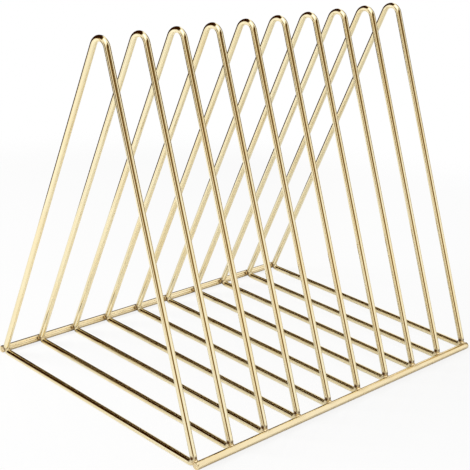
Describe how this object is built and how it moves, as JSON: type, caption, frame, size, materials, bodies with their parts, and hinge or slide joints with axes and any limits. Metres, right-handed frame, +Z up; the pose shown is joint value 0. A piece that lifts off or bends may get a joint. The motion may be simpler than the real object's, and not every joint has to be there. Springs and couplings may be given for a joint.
{
  "type": "magazine rack",
  "caption": "Free-standing magazine rack: a row of upright round-wire triangles welded to two long rails, with open slots between them for magazines or papers.",
  "frame": {"origin": "on the surface that the rack stands on, under the middle of the rack", "axes": "+X along the row of triangles, +Y from the front rail to the rear rail, +Z up"},
  "size_m": [0.2744, 0.2044, 0.2402],
  "materials": {
    "triangle_wire": "polished brass plating on bent steel wire",
    "rail_wire": "polished brass plating on straight steel wire",
    "weld_metal": "plated weld metal, slightly duller than the wire"
  },
  "bodies": {
    "root": {"triangle_01": "triangle_wire", "triangle_02": "triangle_wire", "triangle_03": "triangle_wire", "triangle_04": "triangle_wire", "triangle_05": "triangle_wire", "triangle_06": "triangle_wire", "triangle_07": "triangle_wire", "triangle_08": "triangle_wire", "triangle_09": "triangle_wire", "triangle_10": "triangle_wire", "front_rail": "rail_wire", "rear_rail": "rail_wire", "front_welds": "weld_metal", "rear_welds": "weld_metal"}
  },
  "joints": []
}
